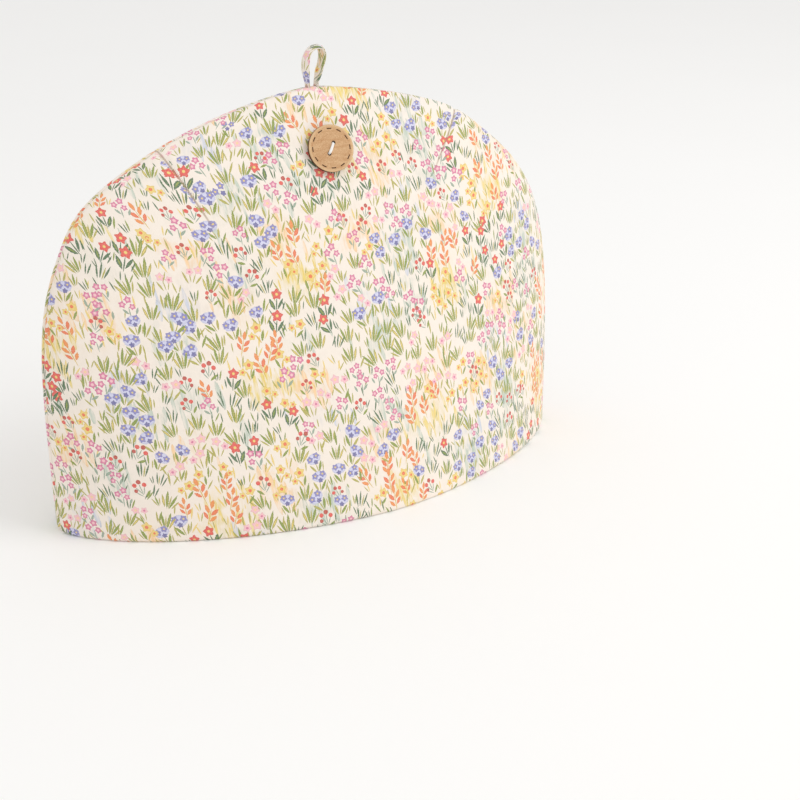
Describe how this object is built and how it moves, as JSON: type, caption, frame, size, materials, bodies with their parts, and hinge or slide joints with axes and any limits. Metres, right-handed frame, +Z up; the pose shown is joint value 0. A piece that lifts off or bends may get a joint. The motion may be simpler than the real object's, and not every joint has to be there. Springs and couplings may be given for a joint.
{
  "type": "tea cosy",
  "caption": "Padded, printed cotton tea cosy: a hollow dome of darted panels, open at the hem, with a hanging loop and a wooden button.",
  "frame": {"origin": "middle of the hem's outline, on the surface that the cosy stands on", "axes": "+X across the cosy along its seam, +Y towards the back panel, +Z up; the button faces -Y"},
  "size_m": [0.3242, 0.159, 0.238],
  "materials": {
    "printed_cotton": "matt plain-woven cotton with a small flower print",
    "loop_cotton": "matt folded cotton strip",
    "button_wood": "unvarnished light wood, engraved",
    "thread": "matt white cotton thread"
  },
  "bodies": {
    "root": {"front_panel": "printed_cotton", "back_panel": "printed_cotton", "hanging_loop": "loop_cotton", "button": "button_wood", "button_thread": "thread"}
  },
  "joints": []
}
